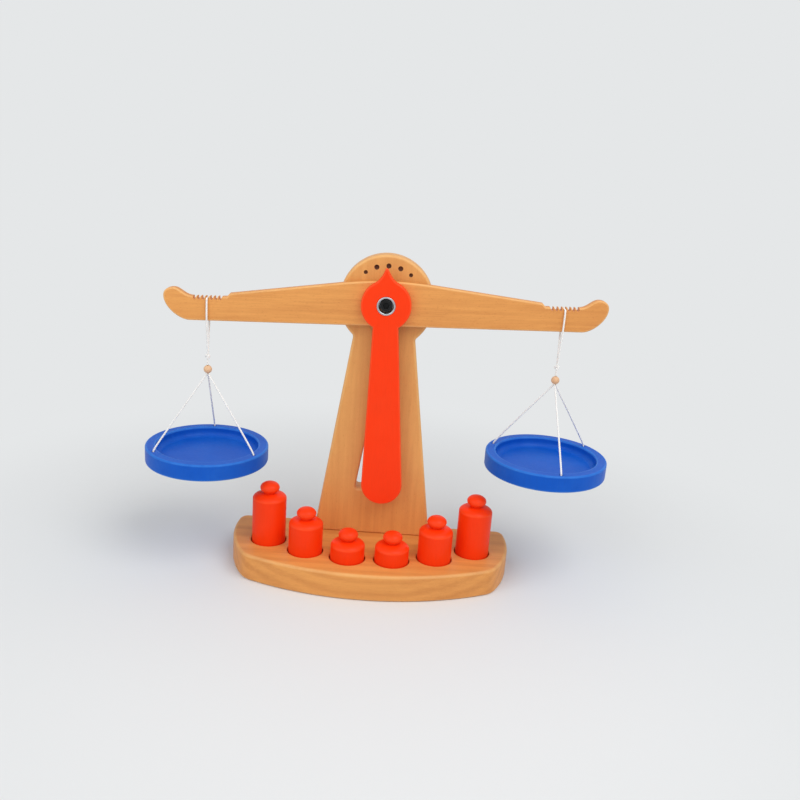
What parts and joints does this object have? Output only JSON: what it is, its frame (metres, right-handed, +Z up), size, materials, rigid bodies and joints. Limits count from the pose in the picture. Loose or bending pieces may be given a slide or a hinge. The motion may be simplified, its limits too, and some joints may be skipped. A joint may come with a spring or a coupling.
{
  "type": "toy balance scale",
  "caption": "Wooden toy balance scale with a notched beam, a pointer, hanging pans and turned weights standing in its base.",
  "frame": {"origin": "middle of the base's underside: halfway along its width and halfway from its back edge to the middle of its front edge", "axes": "+X along the beam, to the right as seen from the front; +Y to the back; +Z up"},
  "size_m": [0.4078, 0.1295, 0.2798],
  "materials": {
    "wood": "clear satin lacquer",
    "red_paint": "semi-gloss paint",
    "blue_paint": "semi-gloss paint",
    "cord": "twisted cotton",
    "bead": "clear lacquer",
    "bright_steel": "zinc plated",
    "black_steel": "black oxide"
  },
  "bodies": {
    "stand": {"base": "wood", "post": "wood", "left_dowel": "wood", "right_dowel": "wood", "left_screw": "bright_steel", "right_screw": "bright_steel", "pivot_bolt": "black_steel", "head_washer": "bright_steel", "spacer_washer": "bright_steel", "back_washer": "bright_steel", "pivot_nut": "bright_steel"},
    "beam_assembly": {"beam": "wood", "pointer": "red_paint", "left_pointer_pin": "wood", "right_pointer_pin": "wood", "pivot_ring": "bright_steel"},
    "left_hanger": {"left_hanger_loop": "cord", "left_hanger_knot": "cord"},
    "left_bead_body": {"left_bead_link": "cord", "left_bead": "bead"},
    "left_pan_body": {"left_pan": "blue_paint", "left_pan_cord_1": "cord", "left_pan_cord_2": "cord", "left_pan_cord_3": "cord", "left_rim_knot_1": "cord", "left_rim_knot_2": "cord", "left_rim_knot_3": "cord"},
    "right_hanger": {"right_hanger_loop": "cord", "right_hanger_knot": "cord"},
    "right_bead_body": {"right_bead_link": "cord", "right_bead": "bead"},
    "right_pan_body": {"right_pan": "blue_paint", "right_pan_cord_1": "cord", "right_pan_cord_2": "cord", "right_pan_cord_3": "cord", "right_rim_knot_1": "cord", "right_rim_knot_2": "cord", "right_rim_knot_3": "cord"},
    "small_weight_left": {"weight_small_left": "red_paint"},
    "medium_weight_left": {"weight_medium_left": "red_paint"},
    "large_weight_left": {"weight_large_left": "red_paint"},
    "small_weight_right": {"weight_small_right": "red_paint"},
    "medium_weight_right": {"weight_medium_right": "red_paint"},
    "large_weight_right": {"weight_large_right": "red_paint"}
  },
  "joints": [
    {"name": "beam_tilt", "type": "hinge", "parent": "stand", "child": "beam_assembly", "pos_m": [0, 0.02425, 0.2393], "axis": [0, 1, 0], "range_deg": [-2.3, 6.7]},
    {"name": "left_hanger_plumb", "type": "hinge", "parent": "beam_assembly", "child": "left_hanger", "pos_m": [-0.15041, 0.02425, 0.23407], "axis": [0, 1, 0], "range_deg": [-6.8, 2.4]},
    {"name": "left_pan_fore_aft", "type": "hinge", "parent": "left_hanger", "child": "left_bead_body", "pos_m": [-0.15041, 0.02425, 0.18307], "axis": [1, 0, 0], "range_deg": [-10, 10]},
    {"name": "left_pan_sideways", "type": "hinge", "parent": "left_bead_body", "child": "left_pan_body", "pos_m": [-0.15041, 0.02425, 0.17157], "axis": [0, 1, 0], "range_deg": [-10, 10]},
    {"name": "right_hanger_plumb", "type": "hinge", "parent": "beam_assembly", "child": "right_hanger", "pos_m": [0.15037, 0.02425, 0.24563], "axis": [0, 1, 0], "range_deg": [-6.8, 2.4]},
    {"name": "right_pan_fore_aft", "type": "hinge", "parent": "right_hanger", "child": "right_bead_body", "pos_m": [0.15037, 0.02425, 0.19463], "axis": [1, 0, 0], "range_deg": [-10, 10]},
    {"name": "right_pan_sideways", "type": "hinge", "parent": "right_bead_body", "child": "right_pan_body", "pos_m": [0.15037, 0.02425, 0.18313], "axis": [0, 1, 0], "range_deg": [-10, 10]},
    {"name": "small_left_lift", "type": "slide", "parent": "stand", "child": "small_weight_left", "axis": [0, 0, 1], "range_m": [0, 0.0065]},
    {"name": "medium_left_lift", "type": "slide", "parent": "stand", "child": "medium_weight_left", "axis": [0, 0, 1], "range_m": [0, 0.0065]},
    {"name": "large_left_lift", "type": "slide", "parent": "stand", "child": "large_weight_left", "axis": [0, 0, 1], "range_m": [0, 0.0065]},
    {"name": "small_right_lift", "type": "slide", "parent": "stand", "child": "small_weight_right", "axis": [0, 0, 1], "range_m": [0, 0.0065]},
    {"name": "medium_right_lift", "type": "slide", "parent": "stand", "child": "medium_weight_right", "axis": [0, 0, 1], "range_m": [0, 0.0065]},
    {"name": "large_right_lift", "type": "slide", "parent": "stand", "child": "large_weight_right", "axis": [0, 0, 1], "range_m": [0, 0.0065]}
  ],
  "couplings": [
    {"joint": "left_hanger_plumb", "follows": "beam_tilt", "ratio": -1},
    {"joint": "right_hanger_plumb", "follows": "beam_tilt", "ratio": -1}
  ]
}
